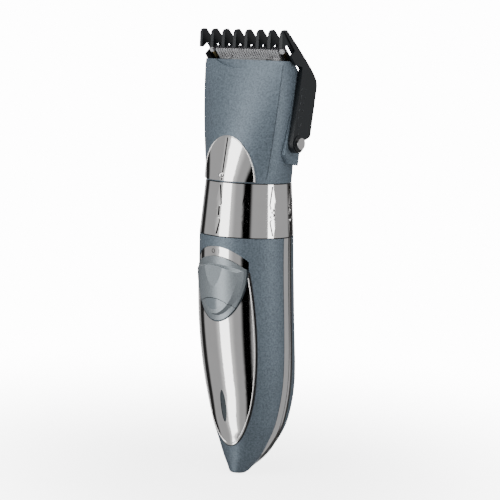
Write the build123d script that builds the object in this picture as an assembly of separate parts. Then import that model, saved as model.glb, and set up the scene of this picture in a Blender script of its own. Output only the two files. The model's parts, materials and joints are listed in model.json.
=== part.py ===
from build123d import *
from functools import cache
import math
import os

# Cordless hair clipper with a turning length ring and a slide-on guide comb, in millimetres.
# Origin: the mouth of the charging socket at the foot of the handle. +Z runs up the ring's axis to
# the blades, and the switch faces -Y. One STEP file is written for each piece.

# ---- driving dimensions ------------------------------------------------------------------------
FAR = 60.0                # beyond the object on every side
TALL = 200.0              # above the object
WALL = 1.8                # handle and head wall
CLEAR = 0.3               # between pieces that move past each other
RUNNING_FIT = 0.05        # round pieces that turn or slide in a hole
RING_Z0, RING_Z1 = 102.0, 123.6
RING_R0, RING_R1 = 19.6, 17.9
RING_STEP = 36.0          # degrees from one figure to the next
MARK_PROUD = 0.5
NECK_R, NECK_BORE, NECK_LIP = 15.6, 14.0, 2.5
SEAM = 0.4                # open seam above and below the ring
HANDLE_TOP = RING_Z0 - SEAM
HEAD_Z0 = RING_Z1 + SEAM

# The handle is a stack of circles: height, radius, and how far the centre sits behind the axis.
HANDLE = [
    (0.0, 3.4, 0.8),
    (0.8, 4.2, 1.25),
    (2.2, 5.1, 1.85),
    (5.0, 7.5, 3.6),
    (9.6, 10.6, 5.65),
    (14.7, 13.2, 6.9),
    (20.0, 15.4, 7.4),
    (28.0, 17.3, 7.5),
    (38.0, 18.8, 6.7),
    (50.0, 19.6, 4.9),
    (65.0, 19.9, 2.8),
    (80.0, 19.9, 1.4),
    (92.0, 19.75, 0.5),
    (HANDLE_TOP, 19.6, 0.0),
]
# Edge of the front shell, seen from the side: (Y, Z). The bright trim lies behind it.
PARTING = [(0.0, HANDLE_TOP + 1), (2.8, 61.0), (4.8, 27.0), (3.8, 10.0), (3.5, -1.0)]
TRIM_WIDTH, TRIM_PROUD = 6.2, 0.25
TRIM_GROOVES, GROOVE_WIDTH, GROOVE_DEPTH = (3.0, 4.6), 0.45, 0.35

# The bright panel on the front of the handle: two half ellipses on one width.
PANEL_Z, PANEL_HALF = 62.0, 15.0
PANEL_DOWN, PANEL_UP = 49.5, 55.0
PANEL_PROUD, PANEL_DEEP, PANEL_GAP = 0.3, 1.0, 0.25
PANEL_TOP = 89.0
LAMP_Z, LAMP_HALF, LAMP_UP = 30.0, 1.5, 7.0

# The switch shield: the lower half of an ellipse under a shallow arc.
SHIELD_Z, SHIELD_HALF, SHIELD_DOWN = 88.0, 12.7, 21.0
SHIELD_CROWN, SHIELD_SIDE = 93.6, 88.8   # height of the top edge at the middle and at the side
MARK_CROWN, MARK_SIDE = 97.6, 92.2       # the same for the plate behind it
SPLIT_MID, SPLIT_SIDE = 76.4, 63.0       # the line that parts the slider from the fixed cover
SWITCH_FACE_Y, SWITCH_BACK = -20.6, 14.4
BEVEL_TAPER = 30.0
WINDOW_Z, WINDOW_HALF, WINDOW_UP = 76.0, 4.5, 4.3
GUIDE_Z, GUIDE_R = 74.3, 1.0
STEM_HALF, STEM_Z0, STEM_Z1 = 2.6, 80.5, 86.0
SLOT_HALF, SLOT_Z0, SLOT_Z1 = 3.2, 79.5, 90.5

# The head, as (Z, front corner, front middle, rear corner, rear middle, side middle), right half.
HEAD_SECTIONS = [
    (147.0, (18.7, -7.8), -13.9, (17.4, 8.0), 10.6, (20.3, 0.4)),
    (178.0, (20.6, -6.0), -8.4, (19.5, 6.8), 9.4, (20.9, 0.6)),
]
HEAD_R0 = 17.8
HEAD_FRONT_CORNER, HEAD_REAR_CORNER = 62.0, 125.0   # degrees round from the front
HEAD_TOP = 173.4
HEAD_SPLIT_Y = 4.0        # where the front and rear head shells meet
SCOOP_HALF, SCOOP_DOWN = 16.5, 3.4
INLAY_Z, INLAY_HALF, INLAY_UP = HEAD_Z0 + 0.4, 13.3, 18.3
INLAY_DEEP, RIDGE_WIDTH, RIDGE_UP, BEAD_R = 1.0, 0.8, 17.8, 1.1
RAIL_IN, RAIL_OUT = 15.0, 21.0

# The blades lie on a plane tipped forwards from the vertical, through this point (Y, Z).
BLADE_TILT = 42.0
BLADE_FACE = (-4.6, 179.3)
BLADE_T, BLADE_HALF, BLADE_LENGTH = 1.1, 19.3, 19.0
TOOTH_PITCH, TOOTH_GAP, TOOTH_LENGTH = 1.25, 0.575, 6.4
SCREW_AT_X, SCREW_AT_Y, BLADE_SCREW_R = 12.0, 17.0, 1.2
CUTTER_HALF, CUTTER_FRONT, CUTTER_REAR, CUTTER_T = 16.2, 0.9, 9.5, 0.9
CUTTER_TOOTH = 4.2
CUTTER_FACE = -BLADE_T - RUNNING_FIT
STROKE = 1.0              # the cutter swings this far each way

# The guide comb slides up and slightly back on two rails.
COMB_TILT = 8.5
COMB_TEETH, COMB_PITCH, COMB_RIB = 8, 6.0, 1.5
ARM_IN, ARM_OUT, ARM_WIDTH = 21.25, 23.4, 7.8
ARM_Z, ARM_Y = 150.4, 3.7  # a point on the arm's centre line
ARM_FOOT, ARM_TOP = 136.5, 171.0
BUTTON_R, BUTTON_RIM, BUTTON_IN, BUTTON_PROUD = 2.4, 0.9, 1.2, 1.5
COMB_BACK, COMB_CORNER = 9.8, 4.0
COMB_SHOULDER_Z, COMB_CROWN_Z, COMB_CROWN_HALF = 168.0, 187.0, 21.9
CHEEK_IN, CHEEK_LIFT, CHEEK_DROP = 21.75, 1.0, 2.5
RIB_BACK = [
    (15.0, 158.0),
    (13.9, 163.0),
    (11.4, 167.6),
    (7.6, 172.1),
    (3.0, 176.7),
    (-2.6, 182.0),
    (-6.9, 185.8),
]
RIB_NOSE = [
    (-6.9, 185.8),
    (-8.4, 185.4),
    (-9.3, 184.2),
    (-9.3, 178.2),
    (-8.6, 178.0),
    (-5.6, 180.2),
    (-4.9, 180.2),
    (8.9, 165.2),
    (13.2, 158.2),
    (15.0, 158.0),
]

# Inside.
MOTOR_R, MOTOR_FLAT, MOTOR_SKIN = 10.05, 7.55, 0.8
MOTOR_Z0, MOTOR_Z1 = 101.0, 126.0
SHAFT_R = 1.0
CAM_Z0, CAM_Z1, CAM_R = 129.0, 134.0, 3.6
PIN_R, PIN_OFFSET, PIN_TOP = 1.0, 1.0, 140.0
BALL_R, BALL_Z, BALL_AT = 0.8, RING_Z0 + 7.0, 15.4
CELL_R, CELL_Z0, CELL_LENGTH, CELL_Y = 7.1, 42.0, 49.0, 6.2
BOARD_Y, BOARD_T, BOARD_HALF, BOARD_Z0, BOARD_Z1 = -8.6, 1.2, 10.5, 46.0, 93.0
JACK_R, JACK_BORE, JACK_DEPTH, JACK_END = 2.3, 1.75, 11.0, 1.5
WIRE_R, WIRE_X = 0.4, 1.2
SCREW_X, SCREW_Z, SCREW_R, SCREW_HEAD = 8.0, 37.0, 1.2, 1.8
SCREW_TIP_Y, SCREW_HEAD_Y = -5.0, 15.0
PILLAR_R, BOSS_R = 3.0, 3.6

RISING = (Align.CENTER, Align.CENTER, Align.MIN)


# ---- helpers -----------------------------------------------------------------------------------
def save(name, *shapes):
    """Write one piece as a compound of its solids."""
    solids = [solid for shape in shapes for solid in shape.solids()]
    export_step(Compound(children=solids), f"parts/{name}.step")


def side_block(sketch, reach=FAR):
    """A sketch drawn as (Y, Z), extruded both ways along X."""
    return extrude(Plane.YZ * sketch, amount=reach, both=True)


def front_block(sketch):
    """A sketch drawn as (X, Z), extruded forwards from the axis."""
    return extrude(Plane.XZ * sketch, amount=FAR / 2)


def post(radius, z0, z1, x=0.0, y=0.0):
    """An upright cylinder."""
    return Pos(x, y, z0) * Cylinder(radius, z1 - z0, align=RISING)


def level(z0, z1):
    """Everything between two heights."""
    return post(FAR, z0, z1)


def block(x0, x1, y0, y1, z0, z1):
    """A box given by its two corners."""
    size = (x1 - x0, y1 - y0, z1 - z0)
    return Pos((x0 + x1) / 2, (y0 + y1) / 2, (z0 + z1) / 2) * Box(*size)


def lying(radius, y0, y1, x, z):
    """A cylinder lying front to back."""
    return Pos(x, y0, z) * Rot(-90, 0, 0) * Cylinder(radius, y1 - y0, align=RISING)


def mirrored(shape):
    """The mirror image across the middle plane."""
    return mirror(shape, about=Plane.YZ)


def leaning(y, z, tilt):
    """A plane through (y, z), its normal leaning back from the vertical by tilt."""
    lean = math.radians(tilt)
    return Plane(origin=(0, y, z), x_dir=(1, 0, 0), z_dir=(0, math.sin(lean), math.cos(lean)))


BLADE_PLANE = leaning(*BLADE_FACE, 90 - BLADE_TILT)
COMB_PLANE = leaning(ARM_Y, ARM_Z, COMB_TILT)


def plane_box(plane, x0, x1, y0, y1, z0, z1):
    """A box given by two corners in the plane's own directions."""
    return plane * block(x0, x1, y0, y1, z0, z1)


# ---- handle ------------------------------------------------------------------------------------
@cache
def handle_body(grow):
    """The handle's outer shape with every circle made larger by grow."""
    return loft([(Pos(0, c, z) * Circle(r + grow)).face() for z, r, c in HANDLE])


@cache
def handle_hollow():
    return handle_body(-WALL) & level(2.0, HANDLE_TOP)


@cache
def behind_parting(shift):
    """Everything behind the parting line moved back by shift."""
    edge = Spline(*[(y + shift, z) for y, z in PARTING])
    top, foot = PARTING[0], PARTING[-1]
    rest = Polyline(
        (foot[0] + shift, foot[1]),
        (FAR, foot[1]),
        (FAR, top[1]),
        (top[0] + shift, top[1]),
    )
    return side_block(make_face(edge + rest))


def jack_hole():
    return post(JACK_R, -1, JACK_DEPTH + 1)


def panel_sketch(grow):
    """Outline of the bright panel: a half ellipse down and a longer one up."""
    lower = Ellipse(PANEL_HALF + grow, PANEL_DOWN + grow)
    upper = Ellipse(PANEL_HALF + grow, PANEL_UP + grow)
    below = lower & Pos(0, -FAR) * Rectangle(2 * FAR, 2 * FAR)
    above = upper & Pos(0, FAR) * Rectangle(2 * FAR, 2 * FAR)
    return Pos(0, PANEL_Z) * (below + above)


def above_height(z):
    """A sketch of everything above a height."""
    return Pos(0, z + FAR) * Rectangle(2 * FAR, 2 * FAR)


def shield_sketch(grow, crown, side):
    """Outline of the switch shield, up to an arc of that crown and side height."""
    half = SHIELD_HALF + grow
    down = SHIELD_DOWN + grow
    lower = EllipticalCenterArc((0, SHIELD_Z), half, down, start_angle=180, arc_size=180)
    left = Line((-half, SHIELD_Z), (-half, side))
    top = ThreePointArc((-half, side), (0, crown), (half, side))
    right = Line((half, side), (half, SHIELD_Z))
    return make_face(lower + right + top + left)


@cache
def front_pocket():
    """The recess in the front shell for the panel and the plate behind the switch."""
    panel = panel_sketch(PANEL_GAP) - above_height(PANEL_TOP + CLEAR)
    plate = shield_sketch(2 * CLEAR, MARK_CROWN + 0.1, MARK_SIDE)
    return front_block(panel + plate) - handle_body(-PANEL_DEEP)


def shell_screw(x):
    shank = lying(SCREW_R, SCREW_TIP_Y, SCREW_HEAD_Y, x, SCREW_Z)
    return shank + lying(2 * SCREW_R, SCREW_HEAD_Y, SCREW_HEAD_Y + SCREW_HEAD, x, SCREW_Z)


def shell_pillar(x):
    """The front shell's pillar, bored for its screw."""
    pillar = lying(PILLAR_R, -15, SCREW_HEAD_Y - 6, x, SCREW_Z) & handle_body(-WALL)
    return pillar - lying(SCREW_R, SCREW_TIP_Y, SCREW_HEAD_Y, x, SCREW_Z)


def front_shell():
    shell = handle_body(0) - handle_hollow() - behind_parting(0) - front_pocket() - jack_hole()
    shell = shell - block(-SLOT_HALF, SLOT_HALF, -30, 0, SLOT_Z0, SLOT_Z1)
    shell = shell - block(-GUIDE_R, GUIDE_R, -30, 0, LAMP_Z - 3, LAMP_Z + 3)
    shell = shell - lying(GUIDE_R, -25, -10, 0, GUIDE_Z)
    return shell + shell_pillar(-SCREW_X) + shell_pillar(SCREW_X)


def rear_shell():
    shell = ((handle_body(0) - handle_hollow()) & behind_parting(TRIM_WIDTH)) - jack_hole()
    for x in (-SCREW_X, SCREW_X):
        boss = lying(BOSS_R, SCREW_HEAD_Y - 6, 30, x, SCREW_Z) & handle_body(-0.4)
        well = lying(2 * SCREW_R, SCREW_HEAD_Y, 40, x, SCREW_Z)
        shank = lying(SCREW_R, SCREW_TIP_Y, SCREW_HEAD_Y, x, SCREW_Z)
        shell = (shell + boss) - shank - well
    return shell


def side_trim():
    """The bright band between the shells, down both sides, with two fine grooves."""
    band = (handle_body(TRIM_PROUD) - handle_hollow()) & level(0.0, HANDLE_TOP)
    band = (band & behind_parting(0)) - behind_parting(TRIM_WIDTH) - jack_hole()
    for at in TRIM_GROOVES:
        strip = behind_parting(at) - behind_parting(at + GROOVE_WIDTH)
        band = band - (strip - handle_body(-GROOVE_DEPTH))
    return band


def lamp_sketch():
    return Pos(0, LAMP_Z) * Ellipse(LAMP_HALF, LAMP_UP)


def front_panel():
    round_switch = shield_sketch(2 * CLEAR, MARK_CROWN + 9, MARK_CROWN + 3)
    outline = panel_sketch(0) - round_switch - above_height(PANEL_TOP) - lamp_sketch()
    return front_block(outline) & (handle_body(PANEL_PROUD) - handle_body(-PANEL_DEEP))


def charge_lamp_lens():
    return front_block(lamp_sketch()) & (handle_body(0) - handle_body(-PANEL_DEEP))


# ---- switch ------------------------------------------------------------------------------------
def switch_mark_plate():
    plate = shield_sketch(0.4, MARK_CROWN, MARK_SIDE)
    hidden = shield_sketch(1.0, SHIELD_CROWN - 1.2, SHIELD_SIDE - CLEAR)
    return front_block(plate - hidden) & (handle_body(-0.3) - handle_body(-PANEL_DEEP))


@cache
def shield():
    """Slider and fixed cover in one: a skirt with a flat bevelled crown."""
    outline = shield_sketch(0, SHIELD_CROWN, SHIELD_SIDE)
    skirt = front_block(outline) & handle_body(0.5)
    crown = extrude(Plane.XZ.offset(SWITCH_BACK) * outline, amount=7.0, taper=BEVEL_TAPER)
    crown = crown & handle_body(2.0) & block(-FAR, FAR, SWITCH_FACE_Y, 0, 0, TALL)
    return skirt + (crown - handle_body(0.2))


def below_split(shift):
    """Everything below the line that parts the slider from the fixed cover."""
    half, out, foot = SHIELD_HALF, SHIELD_HALF + 9, 20
    side = SPLIT_SIDE + shift
    arc = ThreePointArc((-half, side), (0, SPLIT_MID + shift), (half, side))
    rest = Polyline((half, side), (out, side), (out, foot), (-out, foot), (-out, side), (-half, side))
    return front_block(make_face(arc + rest))


@cache
def switch_lower_cover():
    return (shield() & below_split(0)) - handle_body(-PANEL_DEEP)


@cache
def lamp_window():
    """The half-round window at the top of the fixed cover."""
    room = front_block(Pos(0, WINDOW_Z) * Ellipse(WINDOW_HALF, WINDOW_UP)) - handle_body(0.1)
    return room & switch_lower_cover()


@cache
def lamp_guide():
    """The rod that carries light from the board to the window."""
    return lying(GUIDE_R, -25, BOARD_Y, 0, GUIDE_Z) & handle_body(0.1)


def finger_groove():
    """The crescent cut across the top of the slider."""
    side, half = 88.4, 8.0
    top = ThreePointArc((-half, side), (0, side + 3.2), (half, side))
    foot = ThreePointArc((-half, side), (0, side + 1.6), (half, side))
    return front_block(make_face(top + foot)) & block(-FAR, FAR, -FAR, SWITCH_FACE_Y + 0.9, 0, TALL)


def switch_slider():
    stem = block(-STEM_HALF, STEM_HALF, -18.6, BOARD_Y - 3.4, STEM_Z0, STEM_Z1)
    cap = shield() - handle_body(0) - below_split(0.25) - finger_groove()
    return cap + (stem & handle_body(0.4))


# ---- ring --------------------------------------------------------------------------------------
@cache
def ring_cone(grow):
    """The ring's tapering outside, made larger by grow."""
    foot = Pos(0, 0, RING_Z0) * Circle(RING_R0 + grow)
    top = Pos(0, 0, RING_Z1) * Circle(RING_R1 + grow)
    return loft([foot.face(), top.face()])


def adjustment_ring():
    """A cone with a smooth bore and a track for the detent ball."""
    track = post(NECK_R + 0.9, RING_Z0 + 6, RING_Z0 + 8)
    return ring_cone(0) - post(NECK_R + RUNNING_FIT, 0, TALL) - track


def raised(sketch, angle):
    """A mark standing up from the ring, drawn as (X, Z) and turned to its place."""
    return Rot(0, 0, angle) * (front_block(sketch) & (ring_cone(MARK_PROUD) - ring_cone(0)))


def drop(z_round, z_point, half):
    """Outline of a long drop with one round end and one pointed end."""
    up = 1 if z_point > z_round else -1
    bowl = ThreePointArc((-half, z_round), (0, z_round - up * half), (half, z_round))
    return make_face(bowl + Polyline((half, z_round), (0, z_point), (-half, z_round)))


FIGURE_LINE = 0.62
FIGURES = {
    1: [Polyline((-0.75, 1.05), (0, 1.8), (0, -1.85))],
    2: [
        ThreePointArc((-0.95, 0.9), (0.15, 1.8), (0.95, 0.7)),
        Polyline((0.95, 0.7), (-0.95, -1.6), (1.1, -1.6)),
    ],
    3: [
        ThreePointArc((-0.85, 1.5), (0.85, 1.0), (-0.25, 0.15)),
        ThreePointArc((-0.25, 0.15), (1.0, -0.85), (-0.95, -1.4)),
    ],
    4: [
        Line((0.5, -1.85), (0.5, 1.85)),
        Polyline((0.4, 1.7), (-1.0, -0.7), (1.15, -0.7)),
    ],
    5: [
        Polyline((0.9, 1.6), (-0.7, 1.6), (-0.8, 0.25)),
        ThreePointArc((-0.8, 0.25), (1.0, -0.6), (-0.95, -1.4)),
    ],
}


def figure(digit, z):
    """A figure drawn with strokes of one width, centred on that height."""
    strokes = Sketch()
    for line in FIGURES[digit]:
        strokes = strokes + trace(line, FIGURE_LINE)
    return Pos(0, z) * strokes


def ring_marks():
    """Five figures, each between two drops that point away from it."""
    marks = []
    for step in range(5):
        turn = RING_STEP * step
        marks.append(raised(drop(RING_Z1 - 8.2, RING_Z1 - 0.8, 1.3), turn))
        marks.append(raised(drop(RING_Z0 + 6.2, RING_Z0 + 0.8, 1.25), turn))
        marks.append(raised(figure(step + 1, RING_Z0 + 10.2), turn))
    return marks


# ---- head --------------------------------------------------------------------------------------
def head_section(z, front_corner, front, rear_corner, rear, side, grow):
    """A closed outline of four arcs, the same on both sides."""
    fx, fy = front_corner[0] + grow, front_corner[1] - grow
    rx, ry = rear_corner[0] + grow, rear_corner[1] + grow
    sx, sy = side[0] + grow, side[1]
    arcs = [
        ThreePointArc((-fx, fy, z), (0, front - grow, z), (fx, fy, z)),
        ThreePointArc((fx, fy, z), (sx, sy, z), (rx, ry, z)),
        ThreePointArc((rx, ry, z), (0, rear + grow, z), (-rx, ry, z)),
        ThreePointArc((-rx, ry, z), (-sx, sy, z), (-fx, fy, z)),
    ]
    return Wire(arcs)


@cache
def head_body(grow):
    """The head's outer shape, every outline made larger by grow."""
    r = HEAD_R0
    front, rear = math.radians(HEAD_FRONT_CORNER), math.radians(HEAD_REAR_CORNER)
    base = (
        HEAD_Z0,
        (r * math.sin(front), -r * math.cos(front)),
        -r,
        (r * math.sin(rear), -r * math.cos(rear)),
        r,
        (r, 0.0),
    )
    return loft([Face(head_section(*s, grow)) for s in [base] + HEAD_SECTIONS])


@cache
def head_hollow():
    return head_body(-WALL) & level(HEAD_Z0, HEAD_TOP + 1)


@cache
def over_blade():
    """Everything above the underside of the fixed blade."""
    return plane_box(BLADE_PLANE, -FAR, FAR, -FAR, FAR, -BLADE_T, FAR)


def scoop():
    """The shallow crescent cut from the head's front top edge."""
    left, right, top = (-SCOOP_HALF, HEAD_TOP + 1), (SCOOP_HALF, HEAD_TOP + 1), HEAD_TOP - SCOOP_DOWN
    crescent = make_face(ThreePointArc(left, (0, top), right) + Line(right, left))
    return front_block(crescent) - head_body(-1.0)


@cache
def inlay_block():
    """The half ellipse of the bright inlay, pushed forwards."""
    dome = Ellipse(INLAY_HALF, INLAY_UP) & Pos(0, FAR) * Rectangle(2 * FAR, 2 * FAR)
    return front_block(Pos(0, INLAY_Z) * dome)


def blade_screw_shank(x):
    return BLADE_PLANE * post(BLADE_SCREW_R, -2.6, 0.1, x, SCREW_AT_Y)


@cache
def head_shell():
    """Both head shells in one, with the recess for the inlay."""
    outer = head_body(0) & level(HEAD_Z0, HEAD_TOP)
    shell = outer - blade_screw_shank(-SCREW_AT_X) - blade_screw_shank(SCREW_AT_X)
    shell = shell - head_hollow() - over_blade() - scoop() - inlay_block()
    floor = (inlay_block() & (head_body(-INLAY_DEEP) - head_hollow())) & level(HEAD_Z0, HEAD_TOP)
    return shell + floor


def behind_head_split():
    return block(-FAR, FAR, HEAD_SPLIT_Y, FAR, 0, TALL)


@cache
def ring_pointer():
    """The bead that the ring's figures are read against."""
    bead = Pos(0, -HEAD_R0 - 0.1, INLAY_Z + 2.2) * Sphere(BEAD_R)
    return bead - head_body(-0.4)


def head_inlay():
    plate = inlay_block() & (head_body(0.3) - head_body(-INLAY_DEEP))
    line = Pos(0, INLAY_Z + RIDGE_UP / 2) * Rectangle(RIDGE_WIDTH, RIDGE_UP - 0.6)
    ridge = front_block(line) & (head_body(0.7) - head_body(0.3))
    return (plate + ridge) - ring_pointer()


def comb_rail():
    """The right-hand rail that the comb slides on."""
    outline = Polyline(
        (4.6, 24.0),
        (-4.9, 24.0),
        (-4.9, -15.4),
        (-1.6, -18.6),
        (4.6, -18.6),
        close=True,
    )
    bar = Pos(RAIL_IN, 0, 0) * (Plane.YZ * extrude(make_face(outline), amount=RAIL_OUT - RAIL_IN))
    return ((COMB_PLANE * bar) & level(HEAD_Z0, HEAD_TOP)) - head_body(0) - over_blade()


# ---- neck and motor ----------------------------------------------------------------------------
def detent_ball(radius):
    return Pos(0, BALL_AT, BALL_Z) * Sphere(radius)


def neck_frame():
    """The tube that the ring turns on, with a plate at each end."""
    foot = HANDLE_TOP - NECK_LIP - 2.1
    tube = post(NECK_R, foot, HEAD_Z0) - post(NECK_BORE, 0, TALL)
    lower = (level(foot, HANDLE_TOP - 2.1) & handle_hollow()) - post(NECK_R, 0, TALL)
    upper = (level(HEAD_Z0, MOTOR_Z1 + 1.6) & head_hollow()) - post(NECK_BORE, 0, MOTOR_Z1)
    return (tube + lower + upper) - post(2.2, 0, TALL) - detent_ball(BALL_R + RUNNING_FIT)


def neck_seal():
    return (level(HANDLE_TOP - 2.1, HANDLE_TOP - CLEAR) & handle_hollow()) - post(NECK_R, 0, TALL)


def motor_section(shrink, z0, z1):
    """The motor's round outline with two flats."""
    flat = MOTOR_FLAT - shrink
    return post(MOTOR_R - shrink, z0, z1) & block(-FAR, FAR, -flat, flat, 0, TALL)


def motor_can():
    can = motor_section(0, MOTOR_Z0 + 2, MOTOR_Z1) - motor_section(MOTOR_SKIN, MOTOR_Z0 + 2, MOTOR_Z1 - 1)
    return can - post(SHAFT_R + RUNNING_FIT, 0, TALL)


def motor_end_cap():
    return motor_section(0, MOTOR_Z0, MOTOR_Z0 + 2) - post(SHAFT_R + RUNNING_FIT, 0, TALL)


def motor_holder():
    """Packing between the motor's flats and the neck's bore."""
    return post(NECK_BORE, MOTOR_Z0 + 4, MOTOR_Z1) - motor_section(0, 0, TALL)


def rotor_shaft():
    return post(SHAFT_R, MOTOR_Z0 - 1.5, CAM_Z1)


def rotor_core():
    return post(MOTOR_FLAT - 1.6, MOTOR_Z0 + 5, MOTOR_Z1 - 4) - rotor_shaft()


def eccentric_cam():
    return post(CAM_R, CAM_Z0, CAM_Z1) - rotor_shaft() + post(PIN_R, CAM_Z1, PIN_TOP, PIN_OFFSET, 0)


# ---- blades, drawn in the blade plane: X across, Y down from the tips, Z out of the skin side -----
def toothed(half, y0, y1, length, z0, z1):
    """A plate with its upper edge cut into teeth."""
    plate = block(-half, half, y0, y1, z0, z1)
    for i in range(int(2 * half / TOOTH_PITCH)):
        x = -half + TOOTH_PITCH * (i + 0.75)
        if x + TOOTH_GAP < half:
            plate = plate - block(x, x + TOOTH_GAP, y0 - 1, y0 + length, z0 - 1, z1 + 1)
    return plate


def fixed_blade():
    plate = BLADE_PLANE * toothed(BLADE_HALF, 0, BLADE_LENGTH, TOOTH_LENGTH, -BLADE_T, 0)
    return plate - blade_screw_shank(-SCREW_AT_X) - blade_screw_shank(SCREW_AT_X)


def moving_cutter():
    bottom = CUTTER_FACE - CUTTER_T
    return BLADE_PLANE * toothed(CUTTER_HALF, CUTTER_FRONT, CUTTER_REAR, CUTTER_TOOTH, bottom, CUTTER_FACE)


def blade_screw(x):
    shank = post(BLADE_SCREW_R, -2.6, 0, x, SCREW_AT_Y)
    return BLADE_PLANE * (shank + post(1.9, 0, 0.9, x, SCREW_AT_Y))


def blade_seat():
    seat = plane_box(BLADE_PLANE, -18.6, 18.6, 15.0, 20.5, -4.5, -BLADE_T) & head_hollow()
    return seat - blade_screw_shank(-SCREW_AT_X) - blade_screw_shank(SCREW_AT_X)


def brass_end_tab(x):
    """A thin brass plate under the end of the blade."""
    tab = plane_box(BLADE_PLANE, x - 0.65, x + 0.65, 2.2, 6.0, -BLADE_T - 0.4, -BLADE_T)
    return tab - head_shell()


def blade_end_block(x):
    """A small steel block under the last teeth at the end of the blade."""
    return plane_box(BLADE_PLANE, x - 0.8, x + 0.8, 0.5, 2.1, -BLADE_T - 1.2, -BLADE_T)


def cutter_fork():
    """The carrier under the cutter, its stem, and the slot that the cam's pin runs in."""
    half = PIN_R + PIN_OFFSET + STROKE + CLEAR
    slot_top = PIN_TOP + 1.5
    under = CUTTER_FACE - CUTTER_T
    carrier = plane_box(BLADE_PLANE, -9, 9, 5.0, CUTTER_REAR, CUTTER_FACE - 3.0, under)
    stem = block(-half - 2, half + 2, -3.9, -1.0, slot_top, 172.0)
    prongs = block(-half - 2, half + 2, -3.9, 2.6, CAM_Z1 + 1.5, slot_top + 2.0)
    slot = block(-half, half, -FAR, FAR, CAM_Z1, slot_top)
    above = plane_box(BLADE_PLANE, -FAR, FAR, -FAR, FAR, under, FAR)
    return (carrier + stem + (prongs - slot)) - above


def cutter_lift_bar():
    return plane_box(BLADE_PLANE, -15, 15, 10.9, 13.2, -4.4, CUTTER_FACE - 0.35)


def cutter_spring_arm(x):
    return plane_box(BLADE_PLANE, x - 1.5, x + 1.5, 6.0, 10.9, -4.4, CUTTER_FACE - 1.4)


# ---- comb --------------------------------------------------------------------------------------
def rib_profile():
    """Side outline of one comb rib: flat along the blade, curved on the outside."""
    return make_face(Spline(*RIB_BACK) + Polyline(*RIB_NOSE))


@cache
def comb_room():
    """Everything inside the comb's curved back, its round rear corners and its narrowing crown."""
    top, foot, front, rear = RIB_BACK[-1], RIB_BACK[0], -12.0, 16.5
    rest = Polyline(top, (front, top[1]), (front, 120), (rear, 120), (rear, 155), foot)
    column = extrude(RectangleRounded(2 * ARM_OUT, 40, COMB_CORNER), amount=90)
    wide, narrow = ARM_OUT, COMB_CROWN_HALF
    crown = Polyline(
        (-wide, 120),
        (wide, 120),
        (wide, COMB_SHOULDER_Z),
        (narrow, COMB_CROWN_Z),
        (-narrow, COMB_CROWN_Z),
        (-wide, COMB_SHOULDER_Z),
        close=True,
    )
    room = side_block(make_face(Spline(*RIB_BACK) + rest))
    room = room & (COMB_PLANE * (Pos(0, COMB_BACK - 20, -30) * column))
    return room & extrude(Plane.XZ * make_face(crown), amount=FAR, both=True)


@cache
def arm_room():
    """The space of the right-hand arm, which the ribs and cheeks leave free."""
    return plane_box(COMB_PLANE, ARM_IN, FAR, -FAR, ARM_WIDTH / 2, -FAR, ARM_TOP - ARM_Z)


@cache
def comb_bridge():
    """The curved wall that joins the arms round the back of the head."""
    wall = RectangleRounded(2 * ARM_OUT, 40, COMB_CORNER) - RectangleRounded(2 * ARM_IN, 36.4, 3.0)
    wall = extrude(Pos(0, COMB_BACK - 20) * wall, amount=23.0)
    bridge = COMB_PLANE * (Pos(0, 0, -9.0) * wall)
    bridge = bridge & plane_box(COMB_PLANE, -FAR, FAR, ARM_WIDTH / 2, FAR, -FAR, FAR)
    arc = ThreePointArc((4.0, 141.5), (12.0, 144.6), (18.0, 155.0))
    rest = Polyline((18.0, 155.0), (30.0, 155.0), (30.0, 120.0), (4.0, 120.0), (4.0, 141.5))
    return (bridge & comb_room()) - side_block(make_face(arc + rest)) - head_body(2 * CLEAR)


def comb_rib(x):
    rib = (Pos(x, 0, 0) * side_block(rib_profile(), COMB_RIB / 2)) & comb_room()
    return rib - comb_bridge() - arm_room() - mirrored(arm_room())


def comb_cheek():
    """The right-hand side wall: a thick rib above the blade and a thin skirt beside the head."""
    inner = COMB_PITCH * (COMB_TEETH - 1) / 2 + COMB_RIB / 2
    above = plane_box(BLADE_PLANE, -FAR, FAR, -FAR, FAR, CHEEK_LIFT, FAR)
    thick = Pos((inner + ARM_OUT) / 2, 0, 0) * side_block(rib_profile(), (ARM_OUT - inner) / 2)
    skirt = plane_box(BLADE_PLANE, CHEEK_IN, ARM_OUT, 3.0, FAR, -CHEEK_DROP, FAR)
    skirt = skirt & block(0, FAR, -FAR, FAR, 157.0, TALL)
    return ((thick & above) + skirt) & comb_room()


@cache
def comb_side():
    """The right-hand cheek where the bridge and the arm leave it room."""
    return comb_cheek() - comb_bridge() - arm_room()


def button_post(radius, x0, x1):
    """A cylinder on the button's axis between two distances from the middle, in the comb plane."""
    at = Pos(x0, 0, ARM_FOOT - ARM_Z + ARM_WIDTH / 2) * Rot(0, 90, 0)
    return at * Cylinder(radius, x1 - x0, align=RISING)


def comb_arm():
    foot, top, half = ARM_FOOT - ARM_Z, ARM_TOP - ARM_Z, ARM_WIDTH / 2
    arm = block(ARM_IN, ARM_OUT, -half, half, foot + half, top) + button_post(half, ARM_IN, ARM_OUT)
    arm = arm + button_post(BUTTON_R + BUTTON_RIM, ARM_OUT, ARM_OUT + 0.4)
    arm = COMB_PLANE * (arm - button_post(BUTTON_R + RUNNING_FIT, ARM_IN, FAR))
    return arm & (comb_room() + block(0, FAR, -20, 12, 120, 155))


def comb_button():
    return COMB_PLANE * button_post(BUTTON_R, ARM_IN + BUTTON_IN, ARM_OUT + BUTTON_PROUD)


# ---- power -------------------------------------------------------------------------------------
@cache
def battery_cell():
    return post(CELL_R, CELL_Z0, CELL_Z0 + CELL_LENGTH, 0, CELL_Y)


def battery_cradle(z):
    """A band between the cell and the rear of the handle."""
    return (block(-5, 5, CELL_Y, FAR, z, z + 6) & handle_hollow()) - battery_cell()


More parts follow.
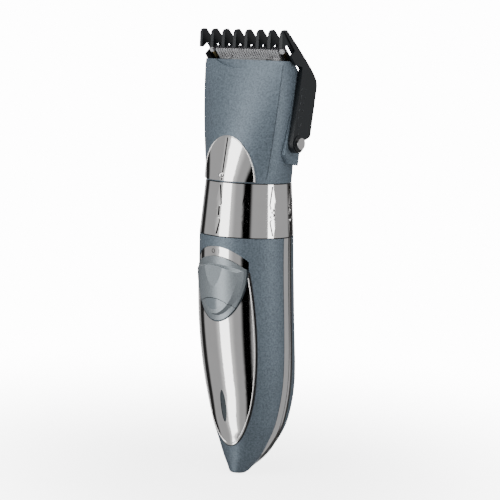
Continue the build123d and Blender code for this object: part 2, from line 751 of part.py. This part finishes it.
def battery_contact(z):
    return post(3.2, z, z + 0.6, 0, CELL_Y)


def circuit_board():
    return block(-BOARD_HALF, BOARD_HALF, BOARD_Y, BOARD_Y + BOARD_T, BOARD_Z0, BOARD_Z1) & handle_hollow()


def switch_contact_block():
    return block(-3.4, 3.4, BOARD_Y - 3.0, BOARD_Y, 80.0, 92.0)


def charging_jack():
    return post(JACK_R, 0, JACK_DEPTH) - post(JACK_BORE, 0, JACK_DEPTH - JACK_END)


def charging_wire(x):
    """A straight wire from the jack to the board."""
    line = Line((x, 0, JACK_DEPTH), (x, BOARD_Y + BOARD_T / 2, BOARD_Z0))
    wire = sweep(Plane(origin=line @ 0, z_dir=line % 0) * Circle(WIRE_R), path=line)
    return wire - charging_jack() - circuit_board()


# ---- every piece -------------------------------------------------------------------------------
os.makedirs("parts", exist_ok=True)

save("front_shell", front_shell())
save("rear_shell", rear_shell())
save("side_trim", side_trim())
save("shell_screws", shell_screw(-SCREW_X), shell_screw(SCREW_X))
save("front_panel", front_panel())
save("charge_lamp_lens", charge_lamp_lens())
save("switch_mark_plate", switch_mark_plate())
save("switch_lower_cover", switch_lower_cover() - lamp_window() - lamp_guide())
save("power_lamp_guide", lamp_window() + lamp_guide())
save("switch_slider", switch_slider())

save("adjustment_ring", adjustment_ring())
save("ring_marks", *ring_marks())

save("head_front", head_shell() - behind_head_split())
save("head_rear", head_shell() & behind_head_split())
save("head_inlay", head_inlay())
save("ring_pointer", ring_pointer())
save("comb_rails", comb_rail(), mirrored(comb_rail()))

save("neck_frame", neck_frame())
save("neck_seal", neck_seal())
save("detent_ball", detent_ball(BALL_R))
save("motor_can", motor_can())
save("motor_end_cap", motor_end_cap())
save("motor_holder", motor_holder())
save("rotor_shaft", rotor_shaft())
save("rotor_core", rotor_core())
save("eccentric_cam", eccentric_cam())

save("fixed_blade", fixed_blade())
save("moving_cutter", moving_cutter())
save("blade_screws", blade_screw(-SCREW_AT_X), blade_screw(SCREW_AT_X))
save("blade_seat", blade_seat())
save("brass_end_tabs", brass_end_tab(-18.5), brass_end_tab(18.5))
save("blade_end_blocks", blade_end_block(-18.4), blade_end_block(18.4))
save("cutter_fork", cutter_fork())
save("cutter_lift_bar", cutter_lift_bar())
save("cutter_spring_arms", cutter_spring_arm(-13.0), cutter_spring_arm(13.0))

save("comb_bridge", comb_bridge())
save("comb_ribs", *[comb_rib(COMB_PITCH * (i - (COMB_TEETH - 1) / 2)) for i in range(COMB_TEETH)])
save("comb_cheeks", comb_side(), mirrored(comb_side()))
save("comb_arm_right", comb_arm())
save("comb_arm_left", mirrored(comb_arm()))
save("comb_button_right", comb_button())
save("comb_button_left", mirrored(comb_button()))

save("battery_cell", battery_cell())
save("battery_cradles", battery_cradle(CELL_Z0 + 8), battery_cradle(CELL_Z0 + 34))
save("battery_contacts", battery_contact(CELL_Z0 - 0.6), battery_contact(CELL_Z0 + CELL_LENGTH))
save("circuit_board", circuit_board())
save("switch_contact_block", switch_contact_block())
save("charging_jack", charging_jack())
save("charging_wires", charging_wire(-WIRE_X), charging_wire(WIRE_X))
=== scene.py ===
import json
import math

import bmesh
import bpy
from mathutils import Matrix, Vector
from mathutils.bvhtree import BVHTree


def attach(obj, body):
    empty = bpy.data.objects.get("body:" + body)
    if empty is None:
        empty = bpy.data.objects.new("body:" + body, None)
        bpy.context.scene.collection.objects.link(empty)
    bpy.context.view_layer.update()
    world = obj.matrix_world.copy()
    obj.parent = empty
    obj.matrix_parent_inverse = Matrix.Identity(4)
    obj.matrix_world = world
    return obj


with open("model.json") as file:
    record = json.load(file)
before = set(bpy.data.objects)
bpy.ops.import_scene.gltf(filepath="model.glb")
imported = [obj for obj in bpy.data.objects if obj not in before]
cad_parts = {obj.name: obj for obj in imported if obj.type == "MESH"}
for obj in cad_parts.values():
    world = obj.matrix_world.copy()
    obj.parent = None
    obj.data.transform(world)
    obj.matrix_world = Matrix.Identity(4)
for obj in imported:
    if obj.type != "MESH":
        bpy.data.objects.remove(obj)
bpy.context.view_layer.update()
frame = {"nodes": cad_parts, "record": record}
NODES = frame["nodes"]
MM = 0.001

# ---- camera ------------------------------------------------------------------------------------
CAMERA_AZIMUTH, CAMERA_ELEVATION, CAMERA_ROLL = 39.0, 7.0, 2.4   # degrees
LENS, SENSOR = 110.0, 36.0
FRAME_HEIGHT = 0.2085                       # metres across the picture at the object
AIM = Vector((0.0013, 0.0011, 0.0948))
CLIP_START = 0.01
CENTRE = Vector((0, 0, 0.095))              # what the lights and cards face


def direction(azimuth, elevation):
    """A unit vector from the object: azimuth 0 is the front, 90 the right-hand side."""
    az, el = math.radians(azimuth), math.radians(elevation)
    return Vector((math.sin(az) * math.cos(el), -math.cos(az) * math.cos(el), math.sin(el)))


def facing(away):
    """The turn that points -Z back along a direction."""
    return (-away).to_track_quat("-Z", "Y").to_matrix().to_4x4()


def add_camera():
    away = direction(CAMERA_AZIMUTH, CAMERA_ELEVATION)
    cam = bpy.data.objects.new("camera", bpy.data.cameras.new("camera"))
    cam.data.lens = LENS
    cam.data.sensor_width = SENSOR
    cam.data.clip_start = CLIP_START
    distance = FRAME_HEIGHT * LENS / SENSOR
    roll = Matrix.Rotation(math.radians(CAMERA_ROLL), 4, "Z")
    cam.matrix_world = Matrix.Translation(AIM + away * distance) @ facing(away) @ roll
    bpy.context.scene.collection.objects.link(cam)
    bpy.context.scene.camera = cam


# ---- light, cards and floor ----------------------------------------------------------------------
# name, azimuth and elevation (degrees), distance and size (metres), power (watts)
LIGHTS = [
    ("key", -18, 0, 1.1, (0.50, 2.4), 14.0),
    ("side", 100, 5, 1.1, (0.30, 2.0), 9.0),
    ("top", 20, 70, 1.0, (0.5, 0.5), 4.0),
]
# name, azimuth (degrees), distance and width (metres), glow, and how far from its middle it stays
# solid, as a share of its width
CARDS = [
    ("key_halo", -18, 1.12, 1.2, 1.1, 0.15),
    ("side_halo", 100, 1.12, 0.5, 0.8, 0.1),
    ("card_behind_camera", 38, 0.9, 0.50, 0.0, 0.20),
    ("card_left", -97, 0.9, 0.5, 0.02, 0.2),
    ("card_back", 175, 0.9, 0.6, 0.05, 0.2),
]
CARD_HEIGHT = 2.6
CARD_EDGE = 0.5                             # from the middle of a card to its edge, before scaling
FLOOR_RADIUS, FLOOR_SIDES = 0.9, 96
FLOOR_DROP = 0.8 * MM                       # just under the foot
FLOOR_FADE = (0.02, 0.30)                   # the disc thins out between these radii
FLOOR_WHITE, FLOOR_ROUGH, FLOOR_GLOW = 0.95, 0.9, 4.0
SEEN_STRENGTH = 14.0                        # the surround, as the camera sees it
ROOM_COLOUR, ROOM_STRENGTH = (0.985, 0.985, 1, 1), 0.44


def area_light(name, azimuth, elevation, distance, size, power):
    away = direction(azimuth, elevation)
    lamp = bpy.data.lights.new(name, "AREA")
    lamp.shape = "RECTANGLE"
    lamp.size, lamp.size_y = size
    lamp.energy = power
    ob = bpy.data.objects.new(name, lamp)
    ob.matrix_world = Matrix.Translation(CENTRE + away * distance) @ facing(away)
    bpy.context.scene.collection.objects.link(ob)


def new_mesh_object(name, build):
    """An object from a bmesh that build fills."""
    bm = bmesh.new()
    build(bm)
    mesh = bpy.data.meshes.new(name)
    bm.to_mesh(mesh)
    bm.free()
    ob = bpy.data.objects.new(name, mesh)
    bpy.context.scene.collection.objects.link(ob)
    return ob


def edge_mask(tree, solid_to):
    """1 in the middle of a card one unit wide, falling softly to 0 at both edges."""
    coords = tree.nodes.new("ShaderNodeTexCoord")
    split = tree.nodes.new("ShaderNodeSeparateXYZ")
    size = tree.nodes.new("ShaderNodeMath")
    size.operation = "ABSOLUTE"
    fade = tree.nodes.new("ShaderNodeMapRange")
    fade.interpolation_type = "SMOOTHSTEP"
    fade.inputs["From Min"].default_value = solid_to
    fade.inputs["From Max"].default_value = CARD_EDGE
    fade.inputs["To Min"].default_value = 1.0
    fade.inputs["To Max"].default_value = 0.0
    tree.links.new(coords.outputs["Object"], split.inputs["Vector"])
    tree.links.new(split.outputs["X"], size.inputs[0])
    tree.links.new(size.outputs["Value"], fade.inputs["Value"])
    return fade.outputs["Result"]


def add_card(name, azimuth, distance, width, glow, solid_to):
    """A soft-edged card out of sight, bright or dark, that the bright metal reflects."""
    def sheet(bm):
        bmesh.ops.create_grid(bm, x_segments=1, y_segments=1, size=CARD_EDGE)

    ob = new_mesh_object(name, sheet)
    away = direction(azimuth, 0)
    scale = Matrix.Diagonal((width, CARD_HEIGHT, 1, 1))
    ob.matrix_world = Matrix.Translation(CENTRE + away * distance) @ facing(away) @ scale
    mat = bpy.data.materials.new(name)
    mat.use_nodes = True
    tree = mat.node_tree
    tree.nodes.clear()
    emission = tree.nodes.new("ShaderNodeEmission")
    emission.inputs["Strength"].default_value = glow
    clear = tree.nodes.new("ShaderNodeBsdfTransparent")
    mix = tree.nodes.new("ShaderNodeMixShader")
    out = tree.nodes.new("ShaderNodeOutputMaterial")
    tree.links.new(edge_mask(tree, solid_to), mix.inputs["Fac"])
    tree.links.new(clear.outputs["BSDF"], mix.inputs[1])
    tree.links.new(emission.outputs["Emission"], mix.inputs[2])
    tree.links.new(mix.outputs["Shader"], out.inputs["Surface"])
    ob.data.materials.append(mat)
    ob.visible_camera = False
    ob.visible_shadow = False
    ob.visible_diffuse = False


def add_floor():
    """A pale disc that fades into the white surround."""
    def disc(bm):
        bmesh.ops.create_circle(bm, cap_ends=True, cap_tris=True, segments=FLOOR_SIDES, radius=FLOOR_RADIUS)

    ob = new_mesh_object("floor", disc)
    ob.location = (0, 0, -FLOOR_DROP)
    mat = bpy.data.materials.new("floor")
    mat.use_nodes = True
    tree = mat.node_tree
    shader = tree.nodes["Principled BSDF"]
    shader.inputs["Base Color"].default_value = (FLOOR_WHITE, FLOOR_WHITE, FLOOR_WHITE, 1)
    shader.inputs["Roughness"].default_value = FLOOR_ROUGH
    shader.inputs["Emission Color"].default_value = (1, 1, 1, 1)
    shader.inputs["Emission Strength"].default_value = FLOOR_GLOW
    coords = tree.nodes.new("ShaderNodeTexCoord")
    length = tree.nodes.new("ShaderNodeVectorMath")
    length.operation = "LENGTH"
    fade = tree.nodes.new("ShaderNodeMapRange")
    fade.interpolation_type = "SMOOTHSTEP"
    fade.inputs["From Min"].default_value, fade.inputs["From Max"].default_value = FLOOR_FADE
    fade.inputs["To Min"].default_value = 1.0
    fade.inputs["To Max"].default_value = 0.0
    tree.links.new(coords.outputs["Object"], length.inputs[0])
    tree.links.new(length.outputs["Value"], fade.inputs["Value"])
    tree.links.new(fade.outputs["Result"], shader.inputs["Alpha"])
    ob.data.materials.append(mat)
    ob.visible_glossy = False
    ob.visible_diffuse = False


def add_world():
    """White behind the object, and a dimmer room for the metal to reflect."""
    world = bpy.data.worlds.new("studio")
    bpy.context.scene.world = world
    world.use_nodes = True
    tree = world.node_tree
    seen = tree.nodes["Background"]
    seen.inputs["Color"].default_value = (1, 1, 1, 1)
    seen.inputs["Strength"].default_value = SEEN_STRENGTH
    room = tree.nodes.new("ShaderNodeBackground")
    room.inputs["Color"].default_value = ROOM_COLOUR
    room.inputs["Strength"].default_value = ROOM_STRENGTH
    path = tree.nodes.new("ShaderNodeLightPath")
    mix = tree.nodes.new("ShaderNodeMixShader")
    tree.links.new(path.outputs["Is Camera Ray"], mix.inputs["Fac"])
    tree.links.new(room.outputs["Background"], mix.inputs[1])
    tree.links.new(seen.outputs["Background"], mix.inputs[2])
    tree.links.new(mix.outputs["Shader"], tree.nodes["World Output"].inputs["Surface"])


add_camera()
add_world()
add_floor()
for light in LIGHTS:
    area_light(*light)
for card in CARDS:
    add_card(*card)


# ---- materials ---------------------------------------------------------------------------------
DRIFT_SCALE, DRIFT_DETAIL = 45.0, 3.0       # the broad change of colour over a surface
GRAIN_DETAIL = 4.0


def ramp_between(tree, source, low, high, dark, light):
    node = tree.nodes.new("ShaderNodeValToRGB")
    for element, place, colour in zip(node.color_ramp.elements, (low, high), (dark, light)):
        element.position = place
        element.color = (*colour, 1)
    tree.links.new(source, node.inputs["Fac"])
    return node.outputs["Color"]


def noise(tree, scale, detail, stretch):
    coords = tree.nodes.new("ShaderNodeTexCoord")
    mapping = tree.nodes.new("ShaderNodeMapping")
    mapping.inputs["Scale"].default_value = stretch
    node = tree.nodes.new("ShaderNodeTexNoise")
    node.inputs["Scale"].default_value = scale
    node.inputs["Detail"].default_value = detail
    tree.links.new(coords.outputs["Object"], mapping.inputs["Vector"])
    tree.links.new(mapping.outputs["Vector"], node.inputs["Vector"])
    return node.outputs["Fac"]


def multiply(tree, first, second):
    node = tree.nodes.new("ShaderNodeMix")
    node.data_type = "RGBA"
    node.blend_type = "MULTIPLY"
    node.inputs["Factor"].default_value = 1.0
    tree.links.new(first, node.inputs["A"])
    tree.links.new(second, node.inputs["B"])
    return node.outputs["Result"]


def finish(name, colour, metallic, rough, grain, drift=0.05, speckle=0.05, stretch=(1, 1, 1),
           bump=0.05, bump_mm=0.01, coat=0.0, coat_rough=0.1):
    """One procedural material: broad colour drift, fine speckle, and grain in roughness and bump."""
    mat = bpy.data.materials.new(name)
    mat.use_nodes = True
    tree = mat.node_tree
    shader = tree.nodes["Principled BSDF"]
    dark = [c * (1 - drift) for c in colour]
    light = [min(1.0, c * (1 + drift)) for c in colour]
    broad = ramp_between(tree, noise(tree, DRIFT_SCALE, DRIFT_DETAIL, stretch), 0.3, 0.7, dark, light)
    fine = noise(tree, grain, GRAIN_DETAIL, stretch)
    flecks = ramp_between(tree, fine, 0.35, 0.65, [1 - 2 * speckle] * 3, [1, 1, 1])
    tree.links.new(multiply(tree, broad, flecks), shader.inputs["Base Color"])
    mapped = tree.nodes.new("ShaderNodeMapRange")
    mapped.inputs["To Min"].default_value = rough[0]
    mapped.inputs["To Max"].default_value = rough[1]
    tree.links.new(fine, mapped.inputs["Value"])
    tree.links.new(mapped.outputs["Result"], shader.inputs["Roughness"])
    bumper = tree.nodes.new("ShaderNodeBump")
    bumper.inputs["Strength"].default_value = bump
    bumper.inputs["Distance"].default_value = bump_mm * MM
    tree.links.new(fine, bumper.inputs["Height"])
    tree.links.new(bumper.outputs["Normal"], shader.inputs["Normal"])
    shader.inputs["Metallic"].default_value = metallic
    shader.inputs["Coat Weight"].default_value = coat
    shader.inputs["Coat Roughness"].default_value = coat_rough
    return mat


PAINT = (0.150, 0.192, 0.232)
BLUE = finish("blue_paint", PAINT, 0.40, (0.40, 0.55), 1500, 0.04, 0.20, bump=0.3, bump_mm=0.03)
# A dark blue-grey for the painted shade line down the head's front corners.
CREASE = finish("shaded_crease", (0.05, 0.065, 0.08), 0.4, (0.4, 0.5), 1500)
CHROME = finish("bright_plate", (0.82, 0.81, 0.80), 1.0, (0.05, 0.10), 300, 0.02, 0.01, bump=0.02)
STEEL = finish("ground_steel", (0.70, 0.71, 0.72), 0.9, (0.28, 0.40), 900, stretch=(20, 1, 1), bump=0.1)
# Steel painted near-white and less metallic than the ground steel, a painted highlight, because the teeth
# would otherwise show the dark underside they reflect and the comb's shadow.
PAINTED_BRIGHT_TEETH = finish("teeth_painted_bright", (0.95, 0.95, 0.96), 0.55, (0.30, 0.40), 900, 0.01, 0.01)
# A much darker steel than the cutter's, for the fixed blade.
DARK_STEEL = finish("dark_blade_steel", (0.10, 0.10, 0.11), 0.8, (0.35, 0.45), 900, stretch=(20, 1, 1))
BLACK = finish("black_moulding", (0.006, 0.008, 0.010), 0.0, (0.26, 0.36), 3000, 0.12,
               bump=0.1, bump_mm=0.02)
# Near-black for painted shade: the dark line drawn round the panel, and the neck frame and seal, darkened
# so that the seams round the ring read as shadow.
DEEP = finish("shadowed_moulding", (0.004, 0.004, 0.005), 0.0, (0.6, 0.7), 2000)
GREY = finish("grey_moulding", (0.30, 0.31, 0.32), 0.0, (0.4, 0.5), 2000)
SATIN = finish("switch_lacquer", (0.25, 0.282, 0.302), 0.6, (0.32, 0.40), 1800, 0.03, 0.08, bump=0.06)
WINDOW = finish("smoke_window", (0.20, 0.235, 0.26), 0.3, (0.12, 0.2), 900, coat=0.4)
LENS_MAT = finish("tinted_lens", (0.05, 0.065, 0.075), 0.0, (0.05, 0.1), 900, coat=0.5)
BRASS = finish("stamped_brass", (0.62, 0.45, 0.18), 1.0, (0.2, 0.3), 1500)
SEAL = finish("seal_rubber", (0.015, 0.015, 0.015), 0.0, (0.5, 0.65), 2000)
BOARD = finish("coated_board", (0.02, 0.12, 0.05), 0.0, (0.3, 0.45), 1500)
PRESSED = finish("pressed_mark", (0.03, 0.03, 0.032), 0.0, (0.4, 0.5), 1500)
RAISED = finish("raised_mark", (0.035, 0.042, 0.048), 0.0, (0.22, 0.32), 2500)
BY_SLOT = {
    "blue_paint": BLUE,
    "bright": CHROME,
    "steel": STEEL,
    "black": BLACK,
    "grey_plastic": GREY,
    "switch_plastic": SATIN,
    "window": WINDOW,
    "lens": LENS_MAT,
    "brass": BRASS,
    "seal": SEAL,
    "board": BOARD,
}
BY_NODE = {
    "fixed_blade": DARK_STEEL,
    # the cutter and its end blocks in the steel painted bright
    "moving_cutter": PAINTED_BRIGHT_TEETH,
    "blade_end_blocks": PAINTED_BRIGHT_TEETH,
    # the neck frame and its seal darkened as painted shade in the seams round the ring
    "neck_frame": DEEP,
    "neck_seal": DEEP,
}


def dress_nodes():
    """Give every CAD node its material."""
    for part in frame["record"]["subparts"]:
        node = part["node"]
        ob = NODES[node]
        ob.data.materials.clear()
        ob.data.materials.append(BY_NODE.get(node) or BY_SLOT.get(part["material_slot"], GREY))


SHARP_ANGLE = math.radians(35)              # corners sharper than this are rounded
MOULDED_EDGE, MARK_EDGE = 0.18, 0.22        # widths of the rounding, mm


def soften_edges(node, width_mm, segments):
    """Round a node's sharp edges with a modifier, so that they catch the light."""
    bevel = NODES[node].modifiers.new("soft_edges", "BEVEL")
    bevel.width = width_mm * MM
    bevel.segments = segments
    bevel.limit_method = "ANGLE"
    bevel.angle_limit = SHARP_ANGLE
    bevel.use_clamp_overlap = True


dress_nodes()
for soft_node in ("comb_ribs", "comb_arm_left", "comb_arm_right", "comb_button_left", "comb_button_right"):
    soften_edges(soft_node, MOULDED_EDGE, 2)
soften_edges("ring_marks", MARK_EDGE, 3)


# ---- fine detail, in millimetres ---------------------------------------------------------------
RAY_START = -60.0                           # in front of the whole object


def surface_of(node):
    mesh = NODES[node].data
    return BVHTree.FromPolygons([v.co for v in mesh.vertices], [p.vertices for p in mesh.polygons])


def wire(name, lines, radius_mm, material, body):
    """Lines of round section, each through its own list of points."""
    data = bpy.data.curves.new(name, "CURVE")
    data.dimensions = "3D"
    data.bevel_depth = radius_mm * MM
    data.bevel_resolution = 3
    for points in lines:
        spline = data.splines.new("POLY")
        spline.points.add(len(points) - 1)
        for target, p in zip(spline.points, points):
            target.co = (*p, 1)
        spline.use_smooth = True
    ob = bpy.data.objects.new(name, data)
    bpy.context.scene.collection.objects.link(ob)
    data.materials.append(material)
    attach(ob, body)


def on_front(tree, x, z):
    """The point of a surface met from the front at (x, z) millimetres."""
    return tree.ray_cast(Vector((x, RAY_START, z)) * MM, Vector((0, 1, 0)))[0]


def follow(tree, points):
    """A surface's points under a list of (x, z), leaving out those that miss it."""
    hits = [on_front(tree, x, z) for x, z in points]
    return [p for p in hits if p is not None]


PANEL_Z, PANEL_HALF, PANEL_DOWN, PANEL_UP = 62.0, 15.0, 49.5, 55.0
INLAY_Z, INLAY_HALF, INLAY_UP = 124.4, 13.3, 18.3
INLAY_FOOT = 0.3                            # the bead starts this far above the inlay's foot
BEAD = 0.22
GAP_LINE, GAP_OUT = 0.2, 0.28               # the gap's line, and how far outside the panel it runs
INSET = 0.984                               # a bead lies just inside its edge
PANEL_STEPS, INLAY_STEPS = 180, 60
BEAD_ARC, GAP_ARC = (-30, 240), (-28, 236)  # start and sweep in degrees, round the foot
SIGN_LINE = 0.15
SIGN_RING, SIGN_REACH, SIGN_STEPS = (-1.6, 95.6), (0.75, 0.8), 24
SIGN_BAR = [(1.5, 94.8), (1.5, 96.4)]


def panel_outline(arc, scale=1.0, grow=0.0):
    """Points (x, z) round the panel, whose lower half is shorter than its upper half."""
    start, sweep = arc
    points = []
    for i in range(PANEL_STEPS + 1):
        t = math.radians(start + sweep * i / PANEL_STEPS)
        reach = PANEL_DOWN if math.sin(t) > 0 else PANEL_UP
        x = (PANEL_HALF + grow) * scale * math.cos(t)
        z = PANEL_Z - (reach + grow) * scale * math.sin(t)
        points.append((x, z))
    return points


def add_panel_bead():
    """A bead round the bright panel, from one horn round the foot to the other."""
    line = follow(surface_of("front_panel"), panel_outline(BEAD_ARC, scale=INSET))
    wire("panel_bead", [line], BEAD, CHROME, "clipper")


def add_panel_gap():
    """A dark line on the shell round the panel, for the shadow in the gap between them."""
    line = follow(surface_of("front_shell"), panel_outline(GAP_ARC, grow=GAP_OUT))
    wire("panel_gap", [line], GAP_LINE, DEEP, "clipper")


def add_inlay_bead():
    """A bead round the domed inlay in the head."""
    points = []
    for i in range(INLAY_STEPS + 1):
        t = math.pi * i / INLAY_STEPS
        x = INLAY_HALF * math.cos(t) * INSET
        z = INLAY_Z + INLAY_FOOT + (INLAY_UP - INLAY_FOOT) * math.sin(t) * INSET
        points.append((x, z))
    wire("inlay_bead", [follow(surface_of("head_inlay"), points)], BEAD, CHROME, "clipper")


def add_off_sign():
    """A ring and a bar in dark line, on the plate over the switch."""
    plate = surface_of("switch_mark_plate")
    points = []
    for k in range(SIGN_STEPS + 1):
        t = k * math.tau / SIGN_STEPS
        x = SIGN_RING[0] + SIGN_REACH[0] * math.cos(t)
        z = SIGN_RING[1] + SIGN_REACH[1] * math.sin(t)
        points.append((x, z))
    lines = [follow(plate, points), follow(plate, SIGN_BAR)]
    wire("off_sign", lines, SIGN_LINE, PRESSED, "clipper")


def quadratic(knots, z):
    """The value at z of the parabola through three (z, value) knots."""
    total = 0.0
    for i, (zi, value) in enumerate(knots):
        weight = 1.0
        for j, (zj, _) in enumerate(knots):
            if j != i:
                weight *= (z - zj) / (zi - zj)
        total += weight * value
    return total


CREASE_ACROSS = [(124.0, 15.72), (147.0, 18.7), (178.0, 20.6)]    # (z, x) on the head's corner
CREASE_DEPTH = [(124.0, -8.36), (147.0, -7.8), (178.0, -6.0)]     # (z, y) on the head's corner
CREASE_FOOT, CREASE_LENGTH, CREASE_STEPS = 126, 46, 30
CREASE_LINE = 0.14


def add_head_creases():
    """A fine line of painted shade down each front corner of the head."""
    heights = [CREASE_FOOT + CREASE_LENGTH * k / CREASE_STEPS for k in range(CREASE_STEPS + 1)]
    lines = []
    for side in (-1, 1):
        line = []
        for z in heights:
            line.append(Vector((side * quadratic(CREASE_ACROSS, z), quadratic(CREASE_DEPTH, z), z)) * MM)
        lines.append(line)
    wire("head_crease_shade", lines, CREASE_LINE, CREASE, "clipper")


ARM_Y, ARM_Z, COMB_LEAN, ARM_FACE = 3.7, 150.4, math.radians(8.5), 23.42
MARK_LINE = 0.13
# the marks on an arm: (v across the arm, w up it)
HOOK_TOPS = (12.2, 9.4, 6.6, 3.8, 1.0)
HOOK_LEFT, HOOK_RIGHT, HOOK_DOWN, HOOK_TIP = -2.6, -0.2, 1.6, 0.9
ARM_POINTER = [(-2.7, -1.6), (-1.4, -4.2), (-0.1, -1.6)]
ARM_STEM = [(-1.2, -5.6), (-1.2, -7.0)]


def on_arm(side, v, w):
    """A point on an arm's outer face, v across it and w up it, in millimetres."""
    y = ARM_Y + v * math.cos(COMB_LEAN) + w * math.sin(COMB_LEAN)
    z = ARM_Z - v * math.sin(COMB_LEAN) + w * math.cos(COMB_LEAN)
    return Vector((side * ARM_FACE, y, z)) * MM


def add_arm_marks(side, word):
    """Raised marks down a comb arm: five hooks, a pointer and a line to the button."""
    marks = []
    for top in HOOK_TOPS:
        left = [(HOOK_LEFT, top - HOOK_DOWN), (HOOK_LEFT, top)]
        right = [(HOOK_RIGHT, top), (HOOK_RIGHT, top - HOOK_TIP)]
        marks.append(left + right)
    marks += [ARM_POINTER, ARM_STEM]
    lines = [[on_arm(side, v, w) for v, w in mark] for mark in marks]
    wire("arm_marks_" + word, lines, MARK_LINE, RAISED, "comb")


add_panel_bead()
add_panel_gap()
add_inlay_bead()
add_off_sign()
add_head_creases()
add_arm_marks(-1, "left")
add_arm_marks(1, "right")
